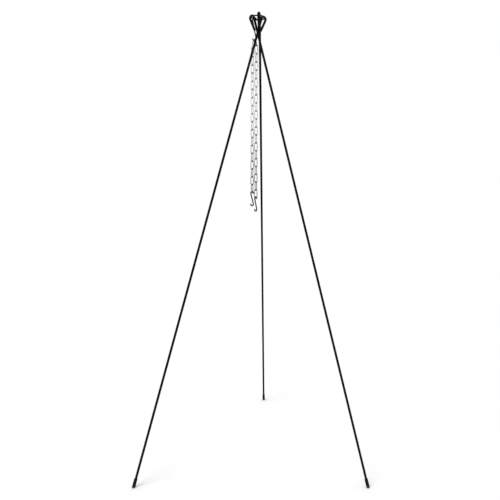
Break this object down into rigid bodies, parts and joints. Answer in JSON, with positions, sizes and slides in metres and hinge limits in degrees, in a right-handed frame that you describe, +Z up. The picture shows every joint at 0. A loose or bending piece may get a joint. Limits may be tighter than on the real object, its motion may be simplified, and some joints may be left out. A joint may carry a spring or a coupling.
{
  "type": "campfire cooking tripod",
  "caption": "Campfire tripod of slim steel legs with bent eyes on a head ring, a doubled long-link chain hanging from a hook, and wire pot hooks.",
  "frame": {"origin": "middle of the feet on the ground, at the centre of the bounding box's bottom", "axes": "+Z up, +X to the right and -Y towards the viewer of the picture; the rear leg points to +Y"},
  "size_m": [0.9282, 0.8107, 1.8447],
  "materials": {
    "black_steel": "satin black coating",
    "zinc_chain": "bright zinc plating",
    "hook_steel": "dark oiled steel wire",
    "foot_vinyl": "matt black dipped vinyl"
  },
  "bodies": {
    "ring": {"head_ring": "black_steel"},
    "left_leg": {"leg_left": "black_steel", "foot_cap_left": "foot_vinyl"},
    "right_leg": {"leg_right": "black_steel", "foot_cap_right": "foot_vinyl"},
    "rear_leg": {"leg_rear": "black_steel", "foot_cap_rear": "foot_vinyl"},
    "hanger": {"hanger_hook": "black_steel"},
    "left_link_01": {"left_link_01": "zinc_chain"},
    "connector": {"connecting_link": "black_steel"},
    "left_link_02": {"left_link_02": "zinc_chain"},
    "left_link_03": {"left_link_03": "zinc_chain"},
    "left_link_04": {"left_link_04": "zinc_chain"},
    "left_link_05": {"left_link_05": "zinc_chain"},
    "left_link_06": {"left_link_06": "zinc_chain"},
    "left_link_07": {"left_link_07": "zinc_chain"},
    "left_link_08": {"left_link_08": "zinc_chain"},
    "left_link_09": {"left_link_09": "zinc_chain"},
    "left_link_10": {"left_link_10": "zinc_chain"},
    "left_link_11": {"left_link_11": "zinc_chain"},
    "left_link_12": {"left_link_12": "zinc_chain"},
    "left_link_13": {"left_link_13": "zinc_chain"},
    "left_link_14": {"left_link_14": "zinc_chain"},
    "left_link_15": {"left_link_15": "zinc_chain"},
    "left_link_16": {"left_link_16": "zinc_chain"},
    "left_link_17": {"left_link_17": "zinc_chain"},
    "left_link_18": {"left_link_18": "zinc_chain"},
    "left_link_19": {"left_link_19": "zinc_chain"},
    "right_link_01": {"right_link_01": "zinc_chain"},
    "right_link_02": {"right_link_02": "zinc_chain"},
    "right_link_03": {"right_link_03": "zinc_chain"},
    "right_link_04": {"right_link_04": "zinc_chain"},
    "right_link_05": {"right_link_05": "zinc_chain"},
    "right_link_06": {"right_link_06": "zinc_chain"},
    "right_link_07": {"right_link_07": "zinc_chain"},
    "right_link_08": {"right_link_08": "zinc_chain"},
    "right_link_09": {"right_link_09": "zinc_chain"},
    "right_link_10": {"right_link_10": "zinc_chain"},
    "right_link_11": {"right_link_11": "zinc_chain"},
    "right_link_12": {"right_link_12": "zinc_chain"},
    "right_link_13": {"right_link_13": "zinc_chain"},
    "right_link_14": {"right_link_14": "zinc_chain"},
    "right_link_15": {"right_link_15": "zinc_chain"},
    "right_link_16": {"right_link_16": "zinc_chain"},
    "right_link_17": {"right_link_17": "zinc_chain"},
    "right_link_18": {"right_link_18": "zinc_chain"},
    "right_link_19": {"right_link_19": "zinc_chain"},
    "left_hook": {"pot_hook_left": "hook_steel"},
    "right_hook": {"pot_hook_right": "hook_steel"}
  },
  "joints": [
    {"name": "left_leg_fold", "type": "hinge", "parent": "ring", "child": "left_leg", "pos_m": [0.02243, -0.11155, 1.831], "axis": [-0.5, 0.866, 0], "range_deg": [-15.5, 1.5]},
    {"name": "right_leg_fold", "type": "hinge", "parent": "ring", "child": "right_leg", "pos_m": [-0.02243, -0.12194, 1.831], "axis": [-0.5, -0.866, 0], "range_deg": [-15.5, 1.5]},
    {"name": "rear_leg_fold", "type": "hinge", "parent": "ring", "child": "rear_leg", "pos_m": [0.009, -0.15558, 1.831], "axis": [1, 0, 0], "range_deg": [-15.5, 1.5]},
    {"name": "hanger_swing", "type": "hinge", "parent": "ring", "child": "hanger", "pos_m": [-0.01373, -0.10903, 1.831], "axis": [-0.8829, 0.4695, 0], "range_deg": [-2, 2]},
    {"name": "left_link_01_swing", "type": "hinge", "parent": "hanger", "child": "left_link_01", "pos_m": [-0.0188, -0.10633, 1.75014], "axis": [-0.8829, 0.4695, 0], "range_deg": [-6, 6]},
    {"name": "connector_swing", "type": "hinge", "parent": "hanger", "child": "connector", "pos_m": [-0.00865, -0.11173, 1.75014], "axis": [-0.8829, 0.4695, 0], "range_deg": [-6, 6]},
    {"name": "left_link_02_swing", "type": "hinge", "parent": "left_link_01", "child": "left_link_02", "pos_m": [-0.02167, -0.10481, 1.7178], "axis": [0.4695, 0.8829, 0], "range_deg": [0, 8]},
    {"name": "left_link_03_swing", "type": "hinge", "parent": "left_link_02", "child": "left_link_03", "pos_m": [-0.02167, -0.10481, 1.6858], "axis": [-0.8829, 0.4695, 0], "range_deg": [-12, 12]},
    {"name": "left_link_04_swing", "type": "hinge", "parent": "left_link_03", "child": "left_link_04", "pos_m": [-0.02167, -0.10481, 1.6538], "axis": [-0.4695, -0.8829, 0], "range_deg": [-8, 0]},
    {"name": "left_link_05_swing", "type": "hinge", "parent": "left_link_04", "child": "left_link_05", "pos_m": [-0.02167, -0.10481, 1.6218], "axis": [0.8829, -0.4695, 0], "range_deg": [-15, 15]},
    {"name": "left_link_06_swing", "type": "hinge", "parent": "left_link_05", "child": "left_link_06", "pos_m": [-0.02167, -0.10481, 1.5898], "axis": [0.4695, 0.8829, 0], "range_deg": [0, 8]},
    {"name": "left_link_07_swing", "type": "hinge", "parent": "left_link_06", "child": "left_link_07", "pos_m": [-0.02167, -0.10481, 1.5578], "axis": [0.8829, -0.4695, 0], "range_deg": [-15, 15]},
    {"name": "left_link_08_swing", "type": "hinge", "parent": "left_link_07", "child": "left_link_08", "pos_m": [-0.02167, -0.10481, 1.5258], "axis": [-0.4695, -0.8829, 0], "range_deg": [-8, 0]},
    {"name": "left_link_09_swing", "type": "hinge", "parent": "left_link_08", "child": "left_link_09", "pos_m": [-0.02167, -0.10481, 1.4938], "axis": [-0.8829, 0.4695, 0], "range_deg": [-18, 18]},
    {"name": "left_link_10_swing", "type": "hinge", "parent": "left_link_09", "child": "left_link_10", "pos_m": [-0.02167, -0.10481, 1.4618], "axis": [0.4695, 0.8829, 0], "range_deg": [0, 8]},
    {"name": "left_link_11_swing", "type": "hinge", "parent": "left_link_10", "child": "left_link_11", "pos_m": [-0.02167, -0.10481, 1.4298], "axis": [-0.8829, 0.4695, 0], "range_deg": [-20, 20]},
    {"name": "left_link_12_swing", "type": "hinge", "parent": "left_link_11", "child": "left_link_12", "pos_m": [-0.02167, -0.10481, 1.3978], "axis": [-0.4695, -0.8829, 0], "range_deg": [-8, 0]},
    {"name": "left_link_13_swing", "type": "hinge", "parent": "left_link_12", "child": "left_link_13", "pos_m": [-0.02167, -0.10481, 1.3658], "axis": [0.8829, -0.4695, 0], "range_deg": [-25, 25]},
    {"name": "left_link_14_swing", "type": "hinge", "parent": "left_link_13", "child": "left_link_14", "pos_m": [-0.02167, -0.10481, 1.3338], "axis": [0.4695, 0.8829, 0], "range_deg": [0, 8]},
    {"name": "left_link_15_swing", "type": "hinge", "parent": "left_link_14", "child": "left_link_15", "pos_m": [-0.02167, -0.10481, 1.3018], "axis": [0.8829, -0.4695, 0], "range_deg": [-30, 30]},
    {"name": "left_link_16_swing", "type": "hinge", "parent": "left_link_15", "child": "left_link_16", "pos_m": [-0.02167, -0.10481, 1.2698], "axis": [-0.4695, -0.8829, 0], "range_deg": [-8, 0]},
    {"name": "left_link_17_swing", "type": "hinge", "parent": "left_link_16", "child": "left_link_17", "pos_m": [-0.02167, -0.10481, 1.2378], "axis": [-0.8829, 0.4695, 0], "range_deg": [-30, 30]},
    {"name": "left_link_18_swing", "type": "hinge", "parent": "left_link_17", "child": "left_link_18", "pos_m": [-0.02167, -0.10481, 1.2058], "axis": [0.4695, 0.8829, 0], "range_deg": [0, 8]},
    {"name": "left_link_19_swing", "type": "hinge", "parent": "left_link_18", "child": "left_link_19", "pos_m": [-0.02167, -0.10481, 1.1738], "axis": [-0.8829, 0.4695, 0], "range_deg": [-30, 30]},
    {"name": "right_link_01_swing", "type": "hinge", "parent": "connector", "child": "right_link_01", "pos_m": [-0.00578, -0.11326, 1.72804], "axis": [-0.4695, -0.8829, 0], "range_deg": [0, 4]},
    {"name": "right_link_02_swing", "type": "hinge", "parent": "right_link_01", "child": "right_link_02", "pos_m": [-0.00578, -0.11326, 1.69604], "axis": [-0.8829, 0.4695, 0], "range_deg": [-12, 12]},
    {"name": "right_link_03_swing", "type": "hinge", "parent": "right_link_02", "child": "right_link_03", "pos_m": [-0.00578, -0.11326, 1.66404], "axis": [0.4695, 0.8829, 0], "range_deg": [-8, 0]},
    {"name": "right_link_04_swing", "type": "hinge", "parent": "right_link_03", "child": "right_link_04", "pos_m": [-0.00578, -0.11326, 1.63204], "axis": [0.8829, -0.4695, 0], "range_deg": [-15, 15]},
    {"name": "right_link_05_swing", "type": "hinge", "parent": "right_link_04", "child": "right_link_05", "pos_m": [-0.00578, -0.11326, 1.60004], "axis": [-0.4695, -0.8829, 0], "range_deg": [0, 8]},
    {"name": "right_link_06_swing", "type": "hinge", "parent": "right_link_05", "child": "right_link_06", "pos_m": [-0.00578, -0.11326, 1.56804], "axis": [0.8829, -0.4695, 0], "range_deg": [-15, 15]},
    {"name": "right_link_07_swing", "type": "hinge", "parent": "right_link_06", "child": "right_link_07", "pos_m": [-0.00578, -0.11326, 1.53604], "axis": [0.4695, 0.8829, 0], "range_deg": [-8, 0]},
    {"name": "right_link_08_swing", "type": "hinge", "parent": "right_link_07", "child": "right_link_08", "pos_m": [-0.00578, -0.11326, 1.50404], "axis": [-0.8829, 0.4695, 0], "range_deg": [-18, 18]},
    {"name": "right_link_09_swing", "type": "hinge", "parent": "right_link_08", "child": "right_link_09", "pos_m": [-0.00578, -0.11326, 1.47204], "axis": [-0.4695, -0.8829, 0], "range_deg": [0, 8]},
    {"name": "right_link_10_swing", "type": "hinge", "parent": "right_link_09", "child": "right_link_10", "pos_m": [-0.00578, -0.11326, 1.44004], "axis": [-0.8829, 0.4695, 0], "range_deg": [-20, 20]},
    {"name": "right_link_11_swing", "type": "hinge", "parent": "right_link_10", "child": "right_link_11", "pos_m": [-0.00578, -0.11326, 1.40804], "axis": [0.4695, 0.8829, 0], "range_deg": [-8, 0]},
    {"name": "right_link_12_swing", "type": "hinge", "parent": "right_link_11", "child": "right_link_12", "pos_m": [-0.00578, -0.11326, 1.37604], "axis": [0.8829, -0.4695, 0], "range_deg": [-25, 25]},
    {"name": "right_link_13_swing", "type": "hinge", "parent": "right_link_12", "child": "right_link_13", "pos_m": [-0.00578, -0.11326, 1.34404], "axis": [-0.4695, -0.8829, 0], "range_deg": [0, 8]},
    {"name": "right_link_14_swing", "type": "hinge", "parent": "right_link_13", "child": "right_link_14", "pos_m": [-0.00578, -0.11326, 1.31204], "axis": [0.8829, -0.4695, 0], "range_deg": [-30, 30]},
    {"name": "right_link_15_swing", "type": "hinge", "parent": "right_link_14", "child": "right_link_15", "pos_m": [-0.00578, -0.11326, 1.28004], "axis": [0.4695, 0.8829, 0], "range_deg": [-8, 0]},
    {"name": "right_link_16_swing", "type": "hinge", "parent": "right_link_15", "child": "right_link_16", "pos_m": [-0.00578, -0.11326, 1.24804], "axis": [-0.8829, 0.4695, 0], "range_deg": [-30, 30]},
    {"name": "right_link_17_swing", "type": "hinge", "parent": "right_link_16", "child": "right_link_17", "pos_m": [-0.00578, -0.11326, 1.21604], "axis": [-0.4695, -0.8829, 0], "range_deg": [0, 8]},
    {"name": "right_link_18_swing", "type": "hinge", "parent": "right_link_17", "child": "right_link_18", "pos_m": [-0.00578, -0.11326, 1.18404], "axis": [-0.8829, 0.4695, 0], "range_deg": [-30, 30]},
    {"name": "right_link_19_swing", "type": "hinge", "parent": "right_link_18", "child": "right_link_19", "pos_m": [-0.00578, -0.11326, 1.15204], "axis": [0.4695, 0.8829, 0], "range_deg": [-8, 0]},
    {"name": "left_hook_swing", "type": "hinge", "parent": "left_link_19", "child": "left_hook", "pos_m": [-0.02167, -0.10481, 1.1418], "axis": [0.4695, 0.8829, 0], "range_deg": [0, 15]},
    {"name": "right_hook_swing", "type": "hinge", "parent": "right_link_19", "child": "right_hook", "pos_m": [-0.00578, -0.11326, 1.12004], "axis": [0.8829, -0.4695, 0], "range_deg": [-15, 15]}
  ],
  "couplings": [
    {"joint": "right_leg_fold", "follows": "left_leg_fold", "ratio": 1},
    {"joint": "rear_leg_fold", "follows": "left_leg_fold", "ratio": 1}
  ]
}
